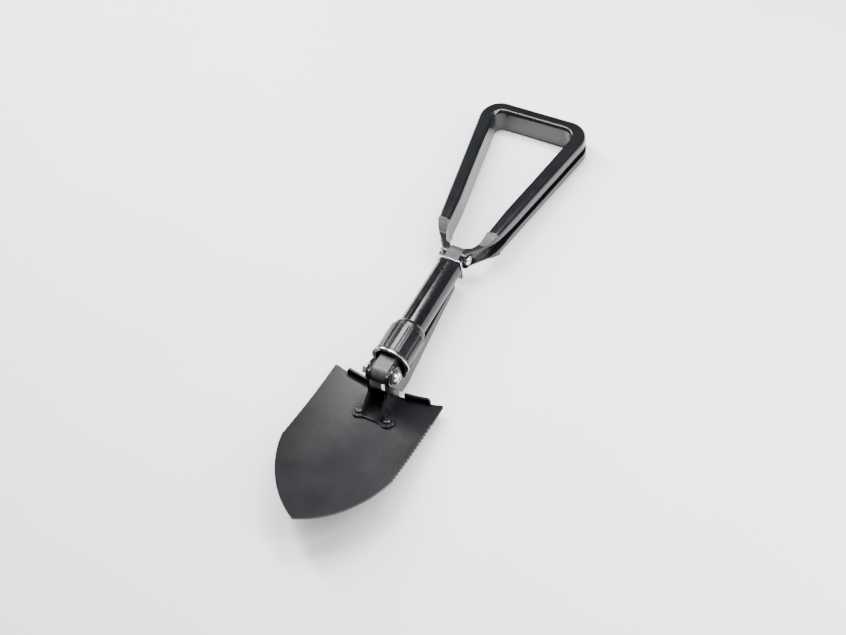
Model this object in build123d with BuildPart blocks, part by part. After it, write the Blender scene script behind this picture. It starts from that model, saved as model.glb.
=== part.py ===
import os
from math import atan2, cos, degrees, radians, sin, sqrt

from build123d import *

# A folding camp shovel: a dished blade and a back pick on one hinge at the foot of a tube,
# a turning lock collar round the tube, and a rolled D handle on a second hinge at its head.
# Everything is drawn in the shaft's frame first: the lower hinge pin runs along X through
# the origin, +Y runs up the tube to the handle and +Z is the blade's hollow front.
# The finished pieces are then laid down on their back, as the shovel rests on a table.

# Shaft tube and the sleeve that the collar turns on
tube_od = 22.0
tube_wall = 1.5
tube_start = 16.0
tube_length = 96.0
sleeve_wall = 1.0
sleeve_thread_height = 0.5
sleeve_start = 17.0
sleeve_length = 26.0
thread_ridges = 7

# Tongues: solid ends that fill the tube and carry the two hinges
plug_length = 20.0
lower_tongue_thick = 13.0
lower_tongue_radius = 8.0
upper_tongue_thick = 12.0
upper_tongue_radius = 7.8
pin_radius = 2.0
plate_margin = 0.5
stop_plate_thick = 1.2

# Hinge hardware
lower_bolt_radius = 3.0
lower_head_radius = 5.2
lower_head_height = 2.8
upper_bolt_radius = 2.5
upper_head_radius = 4.2
upper_head_height = 2.6
upper_washer_radius = 3.1
upper_washer_thick = 2.4
bush_wall = 1.4
washer_thick = 0.8
lower_nut_flats = 10.0
lower_nut_height = 4.0
upper_nut_flats = 7.4
upper_nut_height = 3.6
cross_width = 1.1

# Blade
blade_half_width = 49.5
blade_length = 143.0
shoulder_length = 80.0
side_bulge = 9.0
blade_corner = 2.0
sheet = 1.8
dish_across_radius = 122.0
dish_along_radius = 450.0
dish_low_from_top = 40.0
dish_depth = 11.8
blade_lift = 8.9
blade_top_y = 3.4
blade_behind_pick = 5.5
tread_inner = 14.5
tread_outer = 38.0
tread_height = 7.0
tread_corner = 6.0
tooth_start = 19.0
tooth_pitch = 3.6
tooth_depth = 2.0
tooth_slant = 0.9
tooth_count = 17

# Neck bracket, riveted to the front of the blade
bracket_sheet = 2.0
bracket_wall = 2.0
bracket_edge = 7.5
bracket_top = 8.0
rivet_side = 13.0
rivet_low = 26.8
rivet_high = 10.0
rivet_radius = 2.0
rivet_head_radius = 3.6
rivet_head_height = 1.8
lobe_radius = 6.3

# Pick
pick_sheet = 1.5
pick_length = 113.0
pick_tip_half = 3.2
pick_nose_radius = 9.0
pick_depth = 11.9
pick_straight = 16.0
pick_tip_solid = 8.0

# Handle loop
pivot_from_tube = 13.0
ear_thick = 4.0
ear_web = 1.6
ear_radius = 8.0
ear_length = 24.0
handle_depth = 25.0
handle_length = 163.0
bar_thick = 11.0
handle_half_width = 52.9
bar_inner_half = 38.4
leg_width = 10.3
edge_round = 3.4
groove_half = 3.5
groove_depth = 5.5

# Lock collar
collar_start = 12.8
collar_length = 33.7
collar_flange_height = 2.7
collar_flange_length = 1.8
collar_wall = 0.6
collar_panel_height = 1.7
panel_length = 25.5
panel_gap = 2.8
panel_count = 8
ring_overhang = 0.3
ring_thick = 1.2

# Clearances
fit_gap = 0.05
face_gap = 0.1
hinge_gap = 0.15
side_gap = 0.3
tongue_gap = 0.5
slide_gap = 0.35
seat_gap = 0.06
leg_gap = 5.5
ear_gap = 1.2
pick_ring_gap = 0.9

tube_radius = tube_od / 2
tube_bore = tube_radius - tube_wall
tube_end = tube_start + tube_length
plug_radius = tube_bore - fit_gap
wall_inner = lower_tongue_thick / 2 + tongue_gap
wall_outer = wall_inner + bracket_wall
cheek_inner = wall_outer + side_gap
cheek_outer = cheek_inner + pick_sheet
ear_inner = upper_tongue_thick / 2 + side_gap
ear_outer = ear_inner + ear_thick
ear_floor = ear_inner + ear_web
dish_axis_z = dish_along_radius - dish_depth
dish_centre_z = dish_across_radius - dish_depth
stop_plate_side = tube_od + 2 * plate_margin
handle_pivot_y = tube_end + pivot_from_tube
handle_end_y = handle_pivot_y + handle_length
lower_leg_inner = tube_radius + leg_gap
lower_leg_outer = lower_leg_inner + leg_width
ear_step = tube_radius + ear_gap - ear_inner
plate_start = tube_end + 0.8
plate_end = plate_start + stop_plate_thick
sleeve_radius = tube_radius + fit_gap + sleeve_wall
thread_bore = sleeve_radius + sleeve_thread_height + slide_gap
neck_bore = tube_radius + slide_gap
collar_core_radius = thread_bore + collar_wall
collar_panel_radius = collar_core_radius + collar_panel_height
collar_flange_radius = collar_core_radius + collar_flange_height
ring_outer = collar_flange_radius + ring_overhang
ring_inner = collar_core_radius
pick_front_z = pick_ring_gap - ring_outer
pick_back_z = pick_front_z - pick_depth
blade_top_z = pick_back_z + blade_behind_pick

blade_plane = Plane(
    origin=(0, blade_top_y, blade_top_z),
    x_dir=(1, 0, 0),
    z_dir=(0, sin(radians(blade_lift)), cos(radians(blade_lift))),
)


def across(y):
    # A plane square to the tube at height y, drawn looking down the tube
    return Plane(origin=(0, y, 0), x_dir=(1, 0, 0), z_dir=(0, 1, 0))


def side(x):
    # A plane square to the hinge pins, drawn with Y across and Z up
    return Plane.YZ.offset(x)


def on_blade(x, y, z):
    return blade_plane.from_local_coords(Vector(x, y, z))


def dish_band(inner, outer):
    # The ring-shaped band that lies between two across radii of the dish
    with BuildPart() as band:
        section = Plane(
            origin=on_blade(0, -dish_low_from_top, 0),
            x_dir=(1, 0, 0),
            z_dir=blade_plane.y_dir * -1,
        )
        half_angle = radians(32)
        with BuildSketch(section):
            with BuildLine():
                outer_arc = ThreePointArc(
                    (-outer * sin(half_angle), dish_centre_z - outer * cos(half_angle)),
                    (0, dish_centre_z - outer),
                    (outer * sin(half_angle), dish_centre_z - outer * cos(half_angle)),
                )
                inner_arc = ThreePointArc(
                    (-inner * sin(half_angle), dish_centre_z - inner * cos(half_angle)),
                    (0, dish_centre_z - inner),
                    (inner * sin(half_angle), dish_centre_z - inner * cos(half_angle)),
                )
                Line(outer_arc @ 0, inner_arc @ 0)
                Line(outer_arc @ 1, inner_arc @ 1)
            make_face()
        revolve(axis=Axis(on_blade(0, -dish_low_from_top, dish_axis_z), (1, 0, 0)))
    return band.part


def front_height(x, y):
    # Height of the blade's front face over its own plane, near the centre line
    sweep = sqrt(dish_along_radius**2 - (y + dish_low_from_top) ** 2)
    across_rise = dish_across_radius - sqrt(dish_across_radius**2 - x**2)
    return dish_axis_z - sweep + across_rise


# Shaft
with BuildPart() as shaft_tube:
    with BuildSketch(across(tube_start)):
        Circle(tube_radius)
        Circle(tube_bore, mode=Mode.SUBTRACT)
    extrude(amount=tube_length)
    for pin_y in (tube_start + plug_length * 0.75, tube_end - plug_length * 0.5):
        with BuildSketch(Plane.XY.offset(-tube_od)):
            with Locations((0, pin_y)):
                Circle(pin_radius + fit_gap)
        extrude(amount=2 * tube_od, mode=Mode.SUBTRACT)

with BuildPart() as threaded_sleeve:
    ridge_pitch = sleeve_length / (thread_ridges + 0.5)
    with BuildSketch(Plane.XY):
        with Locations((tube_radius + fit_gap + sleeve_wall / 2, sleeve_start + sleeve_length / 2)):
            Rectangle(sleeve_wall, sleeve_length)
        for ridge in range(thread_ridges):
            ridge_y = sleeve_start + ridge_pitch * (ridge + 0.75)
            with BuildLine():
                Polyline(
                    (sleeve_radius - 0.2, ridge_y - ridge_pitch * 0.42),
                    (sleeve_radius, ridge_y - ridge_pitch * 0.4),
                    (sleeve_radius + sleeve_thread_height, ridge_y - ridge_pitch * 0.15),
                    (sleeve_radius + sleeve_thread_height, ridge_y + ridge_pitch * 0.15),
                    (sleeve_radius, ridge_y + ridge_pitch * 0.4),
                    (sleeve_radius - 0.2, ridge_y + ridge_pitch * 0.42),
                    close=True,
                )
            make_face()
    revolve(axis=Axis.Y)
    with BuildSketch(Plane.XY.offset(-tube_od)):
        with Locations((0, tube_start + plug_length * 0.75)):
            Circle(pin_radius + fit_gap)
    extrude(amount=2 * tube_od, mode=Mode.SUBTRACT)

with BuildPart() as lower_tongue:
    with BuildSketch(side(-lower_tongue_thick / 2)):
        Circle(lower_tongue_radius)
        with Locations(((tube_start - face_gap) / 2, 0)):
            Rectangle(tube_start - face_gap, 2 * lower_tongue_radius)
    extrude(amount=lower_tongue_thick)
    with BuildSketch(across(tube_start - side_gap)):
        Circle(plug_radius)
    extrude(amount=plug_length + side_gap)
    with BuildSketch(side(-tube_od)):
        Circle(lower_bolt_radius + bush_wall + fit_gap)
    extrude(amount=2 * tube_od, mode=Mode.SUBTRACT)
    with BuildSketch(Plane.XY.offset(-tube_od)):
        with Locations((0, tube_start + plug_length * 0.75)):
            Circle(pin_radius + fit_gap)
    extrude(amount=2 * tube_od, mode=Mode.SUBTRACT)

with BuildPart() as upper_tongue:
    with BuildSketch(side(-upper_tongue_thick / 2)):
        with Locations((handle_pivot_y, 0)):
            Circle(upper_tongue_radius)
        with Locations(((tube_end + 0.2 + handle_pivot_y) / 2, 0)):
            Rectangle(handle_pivot_y - tube_end - 0.2, 2 * upper_tongue_radius)
    extrude(amount=upper_tongue_thick)
    with BuildSketch(across(tube_end - plug_length)):
        Circle(plug_radius)
    extrude(amount=plug_length + 0.4)
    with BuildSketch(side(-tube_od)):
        with Locations((handle_pivot_y, 0)):
            Circle(upper_bolt_radius + bush_wall + fit_gap)
    extrude(amount=2 * tube_od, mode=Mode.SUBTRACT)
    with BuildSketch(Plane.XY.offset(-tube_od)):
        with Locations((0, tube_end - plug_length * 0.5)):
            Circle(pin_radius + fit_gap)
    extrude(amount=2 * tube_od, mode=Mode.SUBTRACT)

with BuildPart() as tongue_pins:
    for pin_y, pin_half in (
        (tube_start + plug_length * 0.75, sleeve_radius - 0.2),
        (tube_end - plug_length * 0.5, tube_radius - 0.2),
    ):
        with BuildSketch(Plane.XY.offset(-pin_half)):
            with Locations((0, pin_y)):
                Circle(pin_radius)
        extrude(amount=2 * pin_half)

with BuildPart() as stop_plate:
    with BuildSketch(across(plate_start)):
        RectangleRounded(stop_plate_side, stop_plate_side, 2.5)
        Rectangle(
            upper_tongue_thick + 4 * face_gap,
            2 * upper_tongue_radius + 4 * face_gap,
            mode=Mode.SUBTRACT,
        )
    extrude(amount=stop_plate_thick)

# Lower hinge: bolt, nut, bush and the washers outside the pick's cheeks
lower_washer_x = cheek_outer + face_gap
lower_seat_x = lower_washer_x + washer_thick + face_gap
with BuildPart() as lower_hinge_bolt:
    with BuildSketch(side(-lower_seat_x - lower_nut_height - 1)):
        Circle(lower_bolt_radius)
    extrude(amount=2 * lower_seat_x + lower_nut_height + 1.5)
    with BuildSketch(Plane.XY):
        with BuildLine():
            head_face = ThreePointArc(
                (lower_seat_x + lower_head_height * 0.45, lower_head_radius),
                (lower_seat_x + lower_head_height * 0.88, lower_head_radius * 0.7),
                (lower_seat_x + lower_head_height, 0),
            )
            Polyline(
                head_face @ 1,
                (lower_seat_x, 0),
                (lower_seat_x, lower_head_radius),
                head_face @ 0,
            )
        make_face()
    revolve(axis=Axis.X)
    with BuildSketch(side(lower_seat_x + lower_head_height * 0.4)):
        Rectangle(lower_head_radius * 1.1, cross_width)
        Rectangle(cross_width, lower_head_radius * 1.1)
    extrude(amount=lower_head_height, mode=Mode.SUBTRACT)

with BuildPart() as lower_hinge_nut:
    with BuildSketch(side(-lower_seat_x - lower_nut_height)):
        RegularPolygon(lower_nut_flats / 2, 6, major_radius=False)
        Circle(lower_bolt_radius + fit_gap, mode=Mode.SUBTRACT)
    extrude(amount=lower_nut_height)

with BuildPart() as lower_hinge_bush:
    bush_half = lower_tongue_thick / 2 + tongue_gap - face_gap
    with BuildSketch(side(-bush_half)):
        Circle(lower_bolt_radius + bush_wall)
        Circle(lower_bolt_radius + fit_gap, mode=Mode.SUBTRACT)
    extrude(amount=2 * bush_half)

with BuildPart() as lower_hinge_washers:
    for washer_x in (lower_washer_x, -lower_washer_x - washer_thick):
        with BuildSketch(side(washer_x)):
            Circle(lower_head_radius + 1.2)
            Circle(lower_bolt_radius + fit_gap, mode=Mode.SUBTRACT)
        extrude(amount=washer_thick)

# Upper hinge: the bolt turns with the handle, its bush stays in the tongue
upper_washer_x = ear_floor + face_gap
upper_seat_x = upper_washer_x + upper_washer_thick + face_gap
with BuildPart() as upper_hinge_bolt:
    with BuildSketch(side(-upper_seat_x - upper_nut_height - 0.8)):
        with Locations((handle_pivot_y, 0)):
            Circle(upper_bolt_radius)
    extrude(amount=2 * upper_seat_x + upper_nut_height + 1.3)
    with BuildSketch(Plane.XY):
        with BuildLine():
            head_face = ThreePointArc(
                (upper_seat_x + upper_head_height * 0.45, handle_pivot_y + upper_head_radius),
                (upper_seat_x + upper_head_height * 0.88, handle_pivot_y + upper_head_radius * 0.7),
                (upper_seat_x + upper_head_height, handle_pivot_y),
            )
            Polyline(
                head_face @ 1,
                (upper_seat_x, handle_pivot_y),
                (upper_seat_x, handle_pivot_y + upper_head_radius),
                head_face @ 0,
            )
        make_face()
    revolve(axis=Axis((0, handle_pivot_y, 0), (1, 0, 0)))
    with BuildSketch(side(upper_seat_x + upper_head_height * 0.4)):
        with Locations((handle_pivot_y, 0)):
            Rectangle(upper_head_radius * 1.1, cross_width)
            Rectangle(cross_width, upper_head_radius * 1.1)
    extrude(amount=upper_head_height, mode=Mode.SUBTRACT)

with BuildPart() as upper_hinge_nut:
    with BuildSketch(side(-upper_seat_x - upper_nut_height)):
        with Locations((handle_pivot_y, 0)):
            RegularPolygon(upper_nut_flats / 2, 6, major_radius=False)
            Circle(upper_bolt_radius + fit_gap, mode=Mode.SUBTRACT)
    extrude(amount=upper_nut_height)

with BuildPart() as upper_hinge_bush:
    bush_half = upper_tongue_thick / 2 + side_gap - face_gap
    with BuildSketch(side(-bush_half)):
        with Locations((handle_pivot_y, 0)):
            Circle(upper_bolt_radius + bush_wall)
            Circle(upper_bolt_radius + fit_gap, mode=Mode.SUBTRACT)
    extrude(amount=2 * bush_half)

with BuildPart() as upper_hinge_washers:
    for washer_x in (upper_washer_x, -upper_washer_x - upper_washer_thick):
        with BuildSketch(side(washer_x)):
            with Locations((handle_pivot_y, 0)):
                Circle(upper_washer_radius)
                Circle(upper_bolt_radius + fit_gap, mode=Mode.SUBTRACT)
        extrude(amount=upper_washer_thick)

# Blade: a flat outline with saw teeth down its +X side, cut from the dished sheet
with BuildPart() as blade:
    chord = Vector(blade_half_width, blade_length - shoulder_length)
    bulge_point = Vector(
        blade_half_width / 2 + side_bulge * chord.Y / chord.length,
        -(blade_length + shoulder_length) / 2 - side_bulge * chord.X / chord.length,
    )
    with BuildSketch(blade_plane):
        with BuildLine():
            Polyline(
                (0, 0),
                (blade_half_width, 0),
                (blade_half_width, -shoulder_length),
            )
            ThreePointArc(
                (blade_half_width, -shoulder_length),
                (bulge_point.X, bulge_point.Y),
                (0, -blade_length),
            )
            mirror(about=Plane.YZ)
        make_face()
        fillet(
            [v for v in vertices() if abs(v.Y) < 0.01 and abs(v.X) > blade_half_width - 1],
            radius=blade_corner,
        )
        for tooth in range(tooth_count):
            tooth_y = -tooth_start - tooth * tooth_pitch
            with BuildLine():
                Polyline(
                    (blade_half_width, tooth_y),
                    (blade_half_width + 1, tooth_y),
                    (blade_half_width + 1, tooth_y - tooth_pitch * tooth_slant),
                    (blade_half_width - tooth_depth, tooth_y - tooth_pitch * tooth_slant),
                    close=True,
                )
            make_face(mode=Mode.SUBTRACT)
    extrude(amount=40, both=True)
    add(dish_band(dish_across_radius, dish_across_radius + sheet), mode=Mode.INTERSECT)

with BuildPart() as treads:
    tread_top = front_height(tread_outer, 0) + tread_height
    with BuildSketch(Plane(origin=on_blade(0, -sheet, 0), x_dir=(1, 0, 0), z_dir=blade_plane.y_dir)):
        with BuildLine():
            Polyline(
                (tread_inner, -tread_top - 1.5),
                (tread_outer, -tread_top - 1.5),
                (tread_outer, 40),
                (tread_inner, 40),
                close=True,
            )
        make_face()
        fillet(
            [v for v in vertices() if v.X > tread_outer - 0.01 and v.Y < 0],
            radius=tread_corner,
        )
    extrude(amount=sheet)
    mirror(about=Plane.YZ)
    band = dish_band(dish_across_radius - tread_height, dish_across_radius + sheet / 2)
    add(band, mode=Mode.INTERSECT)

rivet_points = (
    (-rivet_side, -rivet_low),
    (rivet_side, -rivet_low),
    (0, -rivet_high),
)
rivet_seats = []
for rivet_x, rivet_y in rivet_points:
    normal = Vector(
        -rivet_x / dish_across_radius,
        -(rivet_y + dish_low_from_top) / dish_along_radius,
        1,
    ).normalized()
    foot = Vector(rivet_x, rivet_y, front_height(rivet_x, rivet_y))
    seat = foot + normal * (face_gap + bracket_sheet + seat_gap)
    rivet_seats.append(
        Plane(
            origin=on_blade(seat.X, seat.Y, seat.Z),
            z_dir=blade_plane.from_local_coords(seat + normal) - on_blade(seat.X, seat.Y, seat.Z),
        )
    )

with BuildPart() as rivet_holes:
    for seat in rivet_seats:
        with BuildSketch(seat.offset(-8)):
            Circle(rivet_radius + face_gap)
        extrude(amount=10)

with BuildPart() as blade_with_treads:
    add(blade.part)
    add(treads.part)
    add(rivet_holes.part, mode=Mode.SUBTRACT)

# Neck bracket: a lobed foot on the dish and two walls up to the hinge pin
with BuildPart() as bracket_foot:
    with BuildSketch(blade_plane):
        with Locations((rivet_side, -rivet_low), (-rivet_side, -rivet_low)):
            Circle(lobe_radius)
        with BuildLine():
            Polyline(
                (0, -2),
                (wall_outer, -2),
                (wall_outer, -rivet_low + lobe_radius * 2),
                (rivet_side + lobe_radius * 0.6, -rivet_low + lobe_radius * 0.8),
                (rivet_side, -rivet_low - lobe_radius),
                (rivet_side * 0.5, -rivet_low - lobe_radius * 0.62),
                (0, -rivet_low - lobe_radius * 0.55),
            )
            mirror(about=Plane.YZ)
        make_face()
    extrude(amount=40, both=True)
    foot_top = dish_across_radius - face_gap - bracket_sheet
    add(dish_band(foot_top, dish_across_radius - face_gap), mode=Mode.INTERSECT)

with BuildPart() as neck_bracket:
    with BuildSketch(side(wall_inner)):
        with BuildLine():
            Polyline(
                (bracket_top, bracket_edge),
                (-bracket_top, bracket_edge),
                (-12.4, -12.8),
                (-27.0, -23.5),
                (-27.0, -40.0),
                (1.6, -40.0),
                (1.6, -28.0),
                (bracket_top, -bracket_edge),
                close=True,
            )
        make_face()
        fillet([v for v in vertices() if abs(v.X) == bracket_top and v.Y > 0], radius=3)
        fillet([v for v in vertices() if abs(v.X + 12.4) < 0.01], radius=6)
    extrude(amount=bracket_wall)
    mirror(about=Plane.YZ)
    add(dish_band(60, dish_across_radius - face_gap), mode=Mode.INTERSECT)
    add(bracket_foot.part)
    with BuildSketch(side(-tube_od)):
        Circle(lower_bolt_radius + hinge_gap)
    extrude(amount=2 * tube_od, mode=Mode.SUBTRACT)
    add(rivet_holes.part, mode=Mode.SUBTRACT)

with BuildPart() as blade_rivets:
    shank_length = bracket_sheet + face_gap + seat_gap + sheet - 0.05
    for seat in rivet_seats:
        with BuildSketch(seat):
            Circle(rivet_head_radius)
        extrude(amount=rivet_head_height)
        crown = seat.origin + seat.z_dir * rivet_head_height
        rims = edges().filter_by(GeomType.CIRCLE).sort_by_distance(crown)
        fillet(rims[0], radius=rivet_head_height * 0.8)
        with BuildSketch(seat):
            Circle(rivet_radius)
        extrude(amount=-shank_length)

# Pick: a folded channel hung on the same pin, lying along the back of the tube
with BuildPart() as pick:
    pick_slope = (pick_back_z + 3.0) - pick_back_z
    with BuildSketch(side(-tube_od)):
        Circle(pick_nose_radius)
        with BuildLine():
            Polyline(
                (pick_nose_radius, 0),
                (pick_nose_radius, pick_front_z),
                (pick_length * 0.44, pick_front_z),
                (pick_length, pick_front_z - 3.9),
                (pick_length, pick_back_z + pick_slope),
                (9, pick_back_z),
                (4, pick_back_z + 1),
                (2, pick_back_z + 4.5),
                (-pick_nose_radius + 0.6, -3.2),
                (0, 0),
                close=True,
            )
        make_face()
        fillet([v for v in vertices() if abs(v.Y - pick_front_z) < 0.01 and v.X < 12], radius=4)
    extrude(amount=2 * tube_od)
    with BuildSketch(Plane.XY.offset(-60)):
        with BuildLine():
            Polyline(
                (0, -20),
                (cheek_outer, -20),
                (cheek_outer, pick_straight),
                (pick_tip_half, pick_length - 2),
                (pick_tip_half - 1.2, pick_length),
                (0, pick_length),
            )
            mirror(about=Plane.YZ)
        make_face()
    extrude(amount=120, mode=Mode.INTERSECT)
    web_plane = Plane(
        origin=(0, 9, pick_back_z + pick_sheet),
        x_dir=(1, 0, 0),
        z_dir=(0, -pick_slope, pick_length - 9),
    )
    with BuildSketch(web_plane):
        with BuildLine():
            Polyline(
                (0, -40),
                (cheek_inner, -40),
                (cheek_inner, pick_straight - 9),
                (pick_tip_half - pick_sheet * 0.6, pick_length - pick_tip_solid - 9),
                (0, pick_length - pick_tip_solid - 9),
            )
            mirror(about=Plane.YZ)
        make_face()
    extrude(amount=60, mode=Mode.SUBTRACT)
    with BuildSketch(side(-tube_od)):
        Circle(lower_bolt_radius + hinge_gap)
    extrude(amount=2 * tube_od, mode=Mode.SUBTRACT)

# Handle loop: one rolled band, flat ears at the hinge and a groove round the outside
bar_y = handle_end_y - bar_thick
with BuildPart() as handle_groove:
    with BuildSketch(Plane.XY):
        with Locations((0, (handle_pivot_y + handle_end_y) / 2)):
            Rectangle(4 * handle_half_width, 2 * (handle_end_y - handle_pivot_y))
        with BuildLine():
            FilletPolyline(
                (0, handle_pivot_y - 30),
                (ear_floor, handle_pivot_y - 30),
                (ear_floor, handle_pivot_y + 3.5),
                (ear_inner + ear_step + 1, handle_pivot_y + 5.9),
                (lower_leg_outer - groove_depth - 1.5, handle_pivot_y + 18),
                (handle_half_width - groove_depth, handle_end_y - groove_depth),
                (0, handle_end_y - groove_depth),
                radius=[0.5, 0.5, 3, 20, 12],
            )
            mirror(about=Plane.YZ)
        make_face(mode=Mode.SUBTRACT)
    extrude(amount=handle_depth, both=True)
    with BuildSketch(side(-2 * handle_half_width)):
        with BuildLine():
            Polyline(
                (handle_pivot_y - 60, ear_radius - 1.4),
                (handle_pivot_y + 14, ear_radius - 1.4),
                (handle_pivot_y + 45, groove_half),
                (handle_end_y + 60, groove_half),
                (handle_end_y + 60, -groove_half),
                (handle_pivot_y + 45, -groove_half),
                (handle_pivot_y + 14, -ear_radius + 1.4),
                (handle_pivot_y - 60, -ear_radius + 1.4),
                close=True,
            )
        make_face()
    extrude(amount=4 * handle_half_width, mode=Mode.INTERSECT)

with BuildPart() as handle_band:
    with BuildSketch(Plane.XY):
        with BuildLine():
            FilletPolyline(
                (ear_inner, handle_pivot_y - ear_radius),
                (ear_inner, handle_pivot_y + 4.2),
                (ear_inner + ear_step, handle_pivot_y + 6.9),
                (lower_leg_inner, handle_pivot_y + 16),
                (lower_leg_inner + 4, handle_pivot_y + 50),
                (bar_inner_half, bar_y),
                (0, bar_y),
                radius=[2, 5, 30, 60, 9],
            )
            FilletPolyline(
                (ear_outer, handle_pivot_y - ear_radius),
                (ear_outer, handle_pivot_y - 0.5),
                (lower_leg_outer, handle_pivot_y + 18),
                (handle_half_width, handle_end_y),
                (0, handle_end_y),
                radius=[12, 36, 18],
            )
            Line((0, bar_y), (0, handle_end_y))
            Line((ear_inner, handle_pivot_y - ear_radius), (ear_outer, handle_pivot_y - ear_radius))
        make_face()
        mirror(about=Plane.YZ)
    extrude(amount=handle_depth / 2, both=True)

with BuildPart() as handle_grip:
    add(handle_band.part)
    split(bisect_by=across(handle_pivot_y + ear_length))
    loop_edges = edges().group_by(Axis.Z)
    fillet(
        [
            e
            for e in loop_edges[-1] + loop_edges[0]
            if e.bounding_box().max.Y > handle_pivot_y + ear_length + 1 and e.bounding_box().size.X > 0.5
        ],
        radius=edge_round,
    )

with BuildPart() as handle_loop:
    add(handle_band.part)
    split(bisect_by=across(handle_pivot_y + ear_length), keep=Keep.BOTTOM)
    add(handle_grip.part)
    with BuildSketch(side(-2 * handle_half_width)):
        with Locations((handle_pivot_y, 0)):
            Circle(ear_radius)
        with BuildLine():
            Polyline(
                (handle_pivot_y, ear_radius),
                (handle_pivot_y + 12.5, ear_radius),
                (handle_pivot_y + 26, handle_depth / 2 + 0.5),
                (handle_end_y + 5, handle_depth / 2 + 0.5),
                (handle_end_y + 5, -handle_depth / 2 - 0.5),
                (handle_pivot_y + 26, -handle_depth / 2 - 0.5),
                (handle_pivot_y + 12.5, -ear_radius),
                (handle_pivot_y, -ear_radius),
                close=True,
            )
        make_face()
    extrude(amount=4 * handle_half_width, mode=Mode.INTERSECT)
    add(handle_groove.part, mode=Mode.SUBTRACT)
    with BuildSketch(side(-2 * handle_half_width)):
        with Locations((handle_pivot_y, 0)):
            Circle(upper_bolt_radius + face_gap)
    extrude(amount=4 * handle_half_width, mode=Mode.SUBTRACT)

# Lock collar with raised grip panels, and the bright ring it turns on
with BuildPart() as collar_sleeve:
    collar_end = collar_start + collar_length
    with BuildSketch(Plane.XY):
        with BuildLine():
            Polyline(
                (thread_bore, collar_start),
                (collar_flange_radius, collar_start),
                (collar_flange_radius, collar_start + collar_flange_length - 0.5),
                (collar_flange_radius - 0.5, collar_start + collar_flange_length),
                (collar_core_radius, collar_start + collar_flange_length + 0.6),
                (collar_core_radius, collar_end - 3),
                (collar_core_radius - 0.8, collar_end - 1),
                (collar_core_radius - 1.6, collar_end),
                (neck_bore, collar_end),
                (neck_bore, collar_end - 3.2),
                (thread_bore, collar_end - 3.2),
                close=True,
            )
        make_face()
    revolve(axis=Axis.Y)

with BuildPart() as grip_panels:
    panel_start = collar_start + collar_flange_length
    with BuildSketch(across(panel_start)):
        Circle(collar_panel_radius)
        Circle(collar_core_radius - 0.2, mode=Mode.SUBTRACT)
        with PolarLocations(collar_panel_radius, panel_count, start_angle=180 / panel_count):
            Rectangle(6, panel_gap, mode=Mode.SUBTRACT)
    extrude(amount=panel_length)
    outer_faces = faces().filter_by(GeomType.CYLINDER).sort_by(SortBy.RADIUS)[-panel_count:]
    chamfer(outer_faces.edges(), length=0.6)

with BuildPart() as collar_body:
    add(collar_sleeve.part)
    add(grip_panels.part)

with BuildPart() as collar_ring:
    with BuildSketch(across(collar_start - face_gap - ring_thick)):
        Circle(ring_outer)
        Circle(ring_inner, mode=Mode.SUBTRACT)
    extrude(amount=ring_thick)
    chamfer(edges().filter_by(GeomType.CIRCLE).sort_by(SortBy.RADIUS)[-2:], length=0.25)

pieces = {
    "shaft_tube": shaft_tube.part,
    "threaded_sleeve": threaded_sleeve.part,
    "lower_tongue": lower_tongue.part,
    "upper_tongue": upper_tongue.part,
    "tongue_pins": tongue_pins.part,
    "stop_plate": stop_plate.part,
    "lower_hinge_bolt": lower_hinge_bolt.part,
    "lower_hinge_nut": lower_hinge_nut.part,
    "lower_hinge_bush": lower_hinge_bush.part,
    "lower_hinge_washers": lower_hinge_washers.part,
    "upper_hinge_bolt": upper_hinge_bolt.part,
    "upper_hinge_nut": upper_hinge_nut.part,
    "upper_hinge_bush": upper_hinge_bush.part,
    "upper_hinge_washers": upper_hinge_washers.part,
    "blade": blade_with_treads.part,
    "neck_bracket": neck_bracket.part,
    "blade_rivets": blade_rivets.part,
    "pick": pick.part,
    "handle_loop": handle_loop.part,
    "collar_sleeve": collar_body.part,
    "collar_ring": collar_ring.part,
}

# Lay the shovel on its back: it rests on the blade's top edge and the handle's end bar
tilt = 0.0
for step in range(8):
    turned = Location((0, 0, 0), (-tilt, 0, 0))
    low_blade = (turned * pieces["blade"]).bounding_box().min.Z
    low_handle = (turned * pieces["handle_loop"]).bounding_box().min.Z
    tilt += degrees(atan2(low_handle - low_blade, handle_end_y))
turned = Location((0, 0, 0), (-tilt, 0, 0))
boxes = [(turned * piece).bounding_box() for piece in pieces.values()]
middle_y = (min(b.min.Y for b in boxes) + max(b.max.Y for b in boxes)) / 2
rest = Location((0, -middle_y, -min(b.min.Z for b in boxes))) * turned
print("tilt", tilt, "rest", rest)

os.makedirs("parts", exist_ok=True)
for name, piece in pieces.items():
    placed = rest * piece
    placed.label = name
    export_step(placed, "parts/" + name + ".step")
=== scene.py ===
import math

import bmesh
import bpy
from mathutils import Matrix, Vector

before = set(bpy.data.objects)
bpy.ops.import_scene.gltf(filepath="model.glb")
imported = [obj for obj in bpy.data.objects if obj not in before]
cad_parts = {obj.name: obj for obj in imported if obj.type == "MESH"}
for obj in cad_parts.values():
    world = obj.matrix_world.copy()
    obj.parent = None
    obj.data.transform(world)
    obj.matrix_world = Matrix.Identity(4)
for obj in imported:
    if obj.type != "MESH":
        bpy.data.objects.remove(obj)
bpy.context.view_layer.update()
print("frame loaded", len(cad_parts), "nodes")


# shader helpers
def addNode(tree, kind, spot, **values):
    node = tree.nodes.new(kind)
    node.location = spot
    for key, value in values.items():
        setattr(node, key, value)
    return node


def newMaterial(name):
    mat = bpy.data.materials.new(name)
    mat.use_nodes = True
    tree = mat.node_tree
    tree.nodes.clear()
    out = addNode(tree, "ShaderNodeOutputMaterial", (900, 0))
    shader = addNode(tree, "ShaderNodeBsdfPrincipled", (600, 0))
    tree.links.new(shader.outputs["BSDF"], out.inputs["Surface"])
    coord = addNode(tree, "ShaderNodeTexCoord", (-1100, 0))
    return mat, tree, shader, coord


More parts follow.
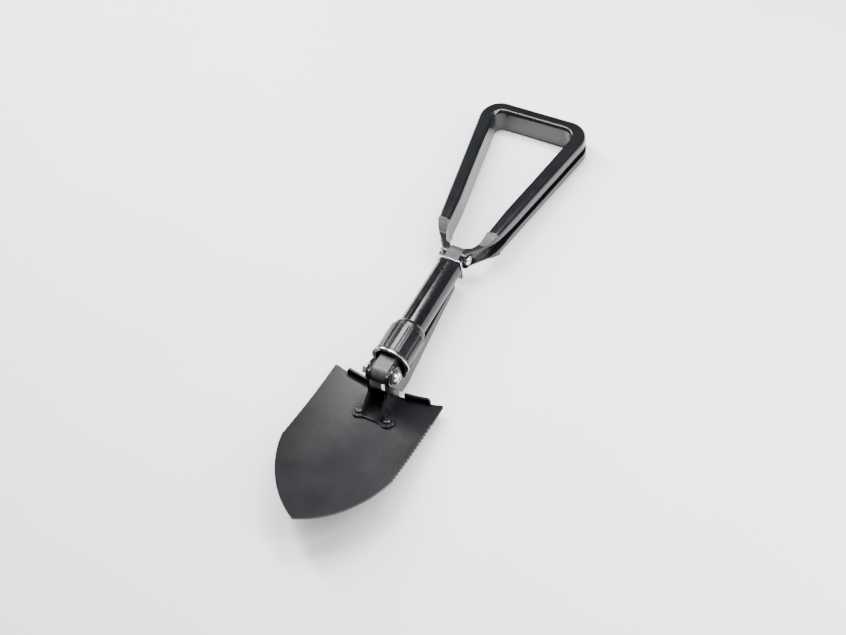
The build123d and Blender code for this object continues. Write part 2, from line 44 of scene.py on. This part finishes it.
def addNoise(tree, coord, spot, scale, detail, rough=0.55):
    noise = addNode(tree, "ShaderNodeTexNoise", spot)
    noise.inputs["Scale"].default_value = scale
    noise.inputs["Detail"].default_value = detail
    noise.inputs["Roughness"].default_value = rough
    tree.links.new(coord.outputs["Object"], noise.inputs["Vector"])
    return noise


def addRamp(tree, source, spot, low, high, lowColor, highColor):
    ramp = addNode(tree, "ShaderNodeValToRGB", spot)
    ramp.color_ramp.elements[0].position = low
    ramp.color_ramp.elements[1].position = high
    ramp.color_ramp.elements[0].color = lowColor
    ramp.color_ramp.elements[1].color = highColor
    tree.links.new(source, ramp.inputs["Fac"])
    return ramp


def grey(value):
    return (value, value, value, 1)


def addRange(tree, source, spot, fromLow, fromHigh, toLow, toHigh):
    span = addNode(tree, "ShaderNodeMapRange", spot)
    span.inputs["From Min"].default_value = fromLow
    span.inputs["From Max"].default_value = fromHigh
    span.inputs["To Min"].default_value = toLow
    span.inputs["To Max"].default_value = toHigh
    tree.links.new(source, span.inputs["Value"])
    return span


# how much a rounded normal turns away from the flat one: bright on sharp edges only
def addEdgeMask(tree, radius, low, high):
    soft = addNode(tree, "ShaderNodeBevel", (-900, -700), samples=6)
    soft.inputs["Radius"].default_value = radius
    plain = addNode(tree, "ShaderNodeNewGeometry", (-900, -900))
    dot = addNode(tree, "ShaderNodeVectorMath", (-700, -800), operation="DOT_PRODUCT")
    tree.links.new(soft.outputs["Normal"], dot.inputs[0])
    tree.links.new(plain.outputs["Normal"], dot.inputs[1])
    return addRange(tree, dot.outputs["Value"], (-500, -800), high, low, 0, 1)


def makeEnamel(s):
    mat, tree, shader, coord = newMaterial(s["name"])
    links = tree.links
    # slow drift of tone, then fine dust specks on top
    drift = addNoise(tree, coord, (-900, 400), s["driftScale"], 3)
    tone = addRamp(tree, drift.outputs["Fac"], (-650, 400), 0.35, 0.7, s["dark"], s["light"])
    dust = addNoise(tree, coord, (-900, 150), s["dustScale"], 6, 0.7)
    speck = addRamp(tree, dust.outputs["Fac"], (-650, 150), 0.66, 0.78, grey(0), grey(s["dust"]))
    dusty = addNode(tree, "ShaderNodeMix", (-350, 350), data_type="RGBA")
    dusty.inputs["B"].default_value = s["dustColor"]
    links.new(speck.outputs["Color"], dusty.inputs["Factor"])
    links.new(tone.outputs["Color"], dusty.inputs["A"])
    # slight wear on sharp edges, broken up by noise
    mask = addEdgeMask(tree, s["edgeRadius"], 0.8, 0.97)
    chip = addNoise(tree, coord, (-900, -500), s["chipScale"], 4, 0.7)
    chipLevel = addRange(tree, chip.outputs["Fac"], (-500, -500), 0.4, 0.65, 0.15, 1)
    wear = addNode(tree, "ShaderNodeMath", (-250, -600), operation="MULTIPLY")
    links.new(mask.outputs["Result"], wear.inputs[0])
    links.new(chipLevel.outputs["Result"], wear.inputs[1])
    wearAmount = addNode(tree, "ShaderNodeMath", (-50, -600), operation="MULTIPLY")
    wearAmount.inputs[1].default_value = s["wear"]
    links.new(wear.outputs["Value"], wearAmount.inputs[0])
    worn = addNode(tree, "ShaderNodeMix", (150, 300), data_type="RGBA")
    worn.inputs["B"].default_value = s["wornColor"]
    links.new(wearAmount.outputs["Value"], worn.inputs["Factor"])
    links.new(dusty.outputs["Result"], worn.inputs["A"])
    links.new(worn.outputs["Result"], shader.inputs["Base Color"])
    # roughness wanders a little, so highlights break up
    smear = addNoise(tree, coord, (-900, -100), s["smearScale"], 5, 0.6)
    rough = addRange(tree, smear.outputs["Fac"], (-500, -100), 0.3, 0.7, s["rough"][0], s["rough"][1])
    links.new(rough.outputs["Result"], shader.inputs["Roughness"])
    peel = addNoise(tree, coord, (-900, -300), s["peelScale"], 3, 0.5)
    bump = addNode(tree, "ShaderNodeBump", (300, -300))
    bump.inputs["Strength"].default_value = s["peel"]
    bump.inputs["Distance"].default_value = 0.0004
    links.new(peel.outputs["Fac"], bump.inputs["Height"])
    soft = addNode(tree, "ShaderNodeBevel", (100, -450), samples=6)
    soft.inputs["Radius"].default_value = s["softEdge"]
    links.new(soft.outputs["Normal"], bump.inputs["Normal"])
    links.new(bump.outputs["Normal"], shader.inputs["Normal"])
    shader.inputs["IOR"].default_value = 1.5
    shader.inputs["Specular IOR Level"].default_value = s["shine"]
    shader.inputs["Coat Weight"].default_value = s["coat"]
    shader.inputs["Coat Roughness"].default_value = s["coatRough"]
    return mat


def makeMetal(s):
    mat, tree, shader, coord = newMaterial(s["name"])
    links = tree.links
    stain = addNoise(tree, coord, (-900, 300), s["stainScale"], 5, 0.65)
    tone = addRamp(tree, stain.outputs["Fac"], (-600, 300), 0.3, 0.72, s["dark"], s["light"])
    rubbed = addEdgeMask(tree, 0.0008, 0.7, 0.98)
    bright = addNode(tree, "ShaderNodeMix", (-100, 300), data_type="RGBA")
    bright.inputs["B"].default_value = s["edge"]
    links.new(rubbed.outputs["Result"], bright.inputs["Factor"])
    links.new(tone.outputs["Color"], bright.inputs["A"])
    links.new(bright.outputs["Result"], shader.inputs["Base Color"])
    # drawn or rolled grain: noise stretched along one way
    stretch = addNode(tree, "ShaderNodeMapping", (-900, -150))
    stretch.inputs["Scale"].default_value = s["stretch"]
    links.new(coord.outputs["Object"], stretch.inputs["Vector"])
    grain = addNode(tree, "ShaderNodeTexNoise", (-700, -150))
    grain.inputs["Scale"].default_value = s["grainScale"]
    grain.inputs["Detail"].default_value = 4
    links.new(stretch.outputs["Vector"], grain.inputs["Vector"])
    rough = addRange(tree, grain.outputs["Fac"], (-450, -150), 0.3, 0.7, s["rough"][0], s["rough"][1])
    links.new(rough.outputs["Result"], shader.inputs["Roughness"])
    bump = addNode(tree, "ShaderNodeBump", (300, -300))
    bump.inputs["Strength"].default_value = s["grain"]
    bump.inputs["Distance"].default_value = 0.0002
    links.new(grain.outputs["Fac"], bump.inputs["Height"])
    soft = addNode(tree, "ShaderNodeBevel", (100, -450), samples=6)
    soft.inputs["Radius"].default_value = 0.0003
    links.new(soft.outputs["Normal"], bump.inputs["Normal"])
    links.new(bump.outputs["Normal"], shader.inputs["Normal"])
    shader.inputs["Metallic"].default_value = s["metallic"]
    return mat


handleEnamel = makeEnamel({
    "name": "handleEnamel",
    "shine": 0.38,
    "dark": (0.003, 0.0033, 0.004, 1),
    "light": (0.007, 0.0075, 0.009, 1),
    "driftScale": 18,
    "dustScale": 900,
    "dust": 0.18,
    "dustColor": (0.12, 0.12, 0.12, 1),
    "chipScale": 260,
    "wear": 0.08,
    "wornColor": (0.14, 0.14, 0.145, 1),
    "edgeRadius": 0.0006,
    "smearScale": 45,
    "rough": (0.14, 0.24),
    "peelScale": 420,
    "peel": 0.12,
    "softEdge": 0.0007,
    "coat": 0.1,
    "coatRough": 0.05,
})

tubeEnamel = makeEnamel({
    "name": "tubeEnamel",
    "shine": 0.4,
    "dark": (0.003, 0.0033, 0.004, 1),
    "light": (0.007, 0.0075, 0.009, 1),
    "driftScale": 30,
    "dustScale": 1100,
    "dust": 0.12,
    "dustColor": (0.1, 0.1, 0.1, 1),
    "chipScale": 300,
    "wear": 0.06,
    "wornColor": (0.16, 0.16, 0.165, 1),
    "edgeRadius": 0.0005,
    "smearScale": 60,
    "rough": (0.1, 0.18),
    "peelScale": 500,
    "peel": 0.08,
    "softEdge": 0.0004,
    "coat": 0.1,
    "coatRough": 0.04,
})

bladeEnamel = makeEnamel({
    "name": "bladeEnamel",
    "shine": 0.24,
    "dark": (0.004, 0.0042, 0.005, 1),
    "light": (0.009, 0.0095, 0.011, 1),
    "driftScale": 14,
    "dustScale": 700,
    "dust": 0.2,
    "dustColor": (0.13, 0.13, 0.13, 1),
    "chipScale": 320,
    "wear": 0.3,
    "wornColor": (0.3, 0.3, 0.31, 1),
    "edgeRadius": 0.0005,
    "smearScale": 38,
    "rough": (0.3, 0.38),
    "peelScale": 360,
    "peel": 0.18,
    "softEdge": 0.0004,
    "coat": 0.1,
    "coatRough": 0.25,
})

bracketEnamel = makeEnamel({
    "name": "bracketEnamel",
    "shine": 0.32,
    "dark": (0.003, 0.0033, 0.004, 1),
    "light": (0.008, 0.0085, 0.01, 1),
    "driftScale": 40,
    "dustScale": 1000,
    "dust": 0.15,
    "dustColor": (0.12, 0.12, 0.12, 1),
    "chipScale": 380,
    "wear": 0.15,
    "wornColor": (0.2, 0.2, 0.21, 1),
    "edgeRadius": 0.0006,
    "smearScale": 70,
    "rough": (0.16, 0.28),
    "peelScale": 480,
    "peel": 0.12,
    "softEdge": 0.0006,
    "coat": 0.1,
    "coatRough": 0.08,
})

collarEnamel = makeEnamel({
    "name": "collarEnamel",
    "shine": 0.32,
    "dark": (0.003, 0.0032, 0.0038, 1),
    "light": (0.007, 0.0073, 0.0085, 1),
    "driftScale": 50,
    "dustScale": 1200,
    "dust": 0.15,
    "dustColor": (0.1, 0.1, 0.1, 1),
    "chipScale": 400,
    "wear": 0.1,
    "wornColor": (0.12, 0.12, 0.125, 1),
    "edgeRadius": 0.0005,
    "smearScale": 90,
    "rough": (0.16, 0.26),
    "peelScale": 600,
    "peel": 0.14,
    "softEdge": 0.0006,
    "coat": 0.1,
    "coatRough": 0.08,
})

zincPlate = makeMetal({
    "name": "zincPlate",
    "dark": (0.5, 0.51, 0.53, 1),
    "light": (0.78, 0.79, 0.81, 1),
    "edge": (0.88, 0.88, 0.9, 1),
    "stainScale": 140,
    "stretch": (1, 1, 1),
    "grainScale": 600,
    "grain": 0.15,
    "rough": (0.16, 0.3),
    "metallic": 1.0,
})

greySteel = makeMetal({
    "name": "greySteel",
    "dark": (0.035, 0.035, 0.037, 1),
    "light": (0.085, 0.085, 0.09, 1),
    "edge": (0.16, 0.16, 0.165, 1),
    "stainScale": 120,
    "stretch": (1, 12, 12),
    "grainScale": 160,
    "grain": 0.3,
    "rough": (0.38, 0.55),
    "metallic": 0.5,
})
print("materials made")

# which material each frame node takes
finishes = {
    "handle_loop": handleEnamel,
    "shaft_tube": tubeEnamel,
    "blade": bladeEnamel,
    "neck_bracket": bracketEnamel,
    "blade_rivets": bracketEnamel,
    "pick": bracketEnamel,
    "collar_sleeve": collarEnamel,
    "lower_tongue": greySteel,
    "upper_tongue": greySteel,
    "lower_hinge_washers": greySteel,
    "tongue_pins": tubeEnamel,
}
for name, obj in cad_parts.items():
    mat = finishes.get(name, zincPlate)
    if not obj.material_slots:
        obj.data.materials.append(mat)
    for materialSlot in obj.material_slots:
        materialSlot.material = mat
print("finishes set")

# studio: a plain pale floor just under the shovel
floorSettings = {"size": 6.0, "drop": 0.0006}
floorMesh = bpy.data.meshes.new("studioFloor")
bm = bmesh.new()
bmesh.ops.create_grid(bm, x_segments=1, y_segments=1, size=floorSettings["size"] / 2)
bmesh.ops.translate(bm, verts=bm.verts, vec=(0, 0, -floorSettings["drop"]))
bm.to_mesh(floorMesh)
bm.free()
studioFloor = bpy.data.objects.new("studioFloor", floorMesh)
bpy.context.collection.objects.link(studioFloor)
floorMat, floorTree, floorShader, floorCoord = newMaterial("studioPaper")
paper = addNoise(floorTree, floorCoord, (-900, 200), 3, 3)
paperTone = addRamp(floorTree, paper.outputs["Fac"], (-600, 200), 0.3, 0.7, grey(0.86), grey(0.9))
floorTree.links.new(paperTone.outputs["Color"], floorShader.inputs["Base Color"])
floorShader.inputs["Roughness"].default_value = 0.85
floorMesh.materials.append(floorMat)


def addSoftBox(s):
    lamp = bpy.data.lights.new(s["name"], "AREA")
    lamp.shape = "RECTANGLE"
    lamp.size = s["width"]
    lamp.size_y = s["height"]
    lamp.energy = s["power"]
    lamp.color = s["color"]
    obj = bpy.data.objects.new(s["name"], lamp)
    obj.location = s["spot"]
    aim = Vector(s["aim"]) - Vector(s["spot"])
    obj.rotation_euler = aim.to_track_quat("-Z", "Y").to_euler()
    bpy.context.collection.objects.link(obj)
    return obj


addSoftBox({
    "name": "keyBox",
    "spot": (-0.55, 0.25, 0.85),
    "aim": (0, 0, 0.02),
    "width": 0.16,
    "height": 1.2,
    "power": 26,
    "color": (1, 1, 1),
})
addSoftBox({
    "name": "sideBox",
    "spot": (0.75, 0.1, 0.6),
    "aim": (0, 0, 0.02),
    "width": 0.14,
    "height": 1.1,
    "power": 18,
    "color": (0.97, 0.98, 1),
})
addSoftBox({
    "name": "topBox",
    "spot": (0.1, 0.5, 1.1),
    "aim": (0, 0, 0.02),
    "width": 0.9,
    "height": 0.22,
    "power": 24,
    "color": (1, 1, 1),
})

world = bpy.data.worlds.new("studioWorld")
world.use_nodes = True
world.node_tree.nodes["Background"].inputs["Color"].default_value = (0.93, 0.95, 1, 1)
world.node_tree.nodes["Background"].inputs["Strength"].default_value = 0.2
bpy.context.scene.world = world

# camera, set out from the shaft's own frame and then laid down with the shovel
cameraSettings = {
    "turn": 38.1,
    "rise": 53.5,
    "roll": 12.2,
    "distance": 1.0272,
    "across": 0.0312,
    "upward": 0.0431,
    "lens": 56.15,
    "tilt": 4.2784,
    "shift": (0, -0.075006, 0.033707),
}
turn = math.radians(cameraSettings["turn"])
rise = math.radians(cameraSettings["rise"])
roll = math.radians(cameraSettings["roll"])
flatRight = Vector((math.cos(turn), math.sin(turn), 0))
back = Vector((math.sin(turn) * math.cos(rise), -math.cos(turn) * math.cos(rise), math.sin(rise)))
flatUp = back.cross(flatRight)
right = flatRight * math.cos(roll) - flatUp * math.sin(roll)
up = flatRight * math.sin(roll) + flatUp * math.cos(roll)
spot = back * cameraSettings["distance"] + right * cameraSettings["across"] + up * cameraSettings["upward"]
pose = Matrix((right, up, back)).transposed().to_4x4()
pose.translation = spot
laid = Matrix.Translation(cameraSettings["shift"])
laid = laid @ Matrix.Rotation(-math.radians(cameraSettings["tilt"]), 4, "X")
cameraData = bpy.data.cameras.new("mainCamera")
cameraData.lens = cameraSettings["lens"]
cameraData.sensor_width = 36
cameraData.clip_start = 0.01
camera = bpy.data.objects.new("mainCamera", cameraData)
camera.matrix_world = laid @ pose
bpy.context.collection.objects.link(camera)
bpy.context.scene.camera = camera
print("studio ready")
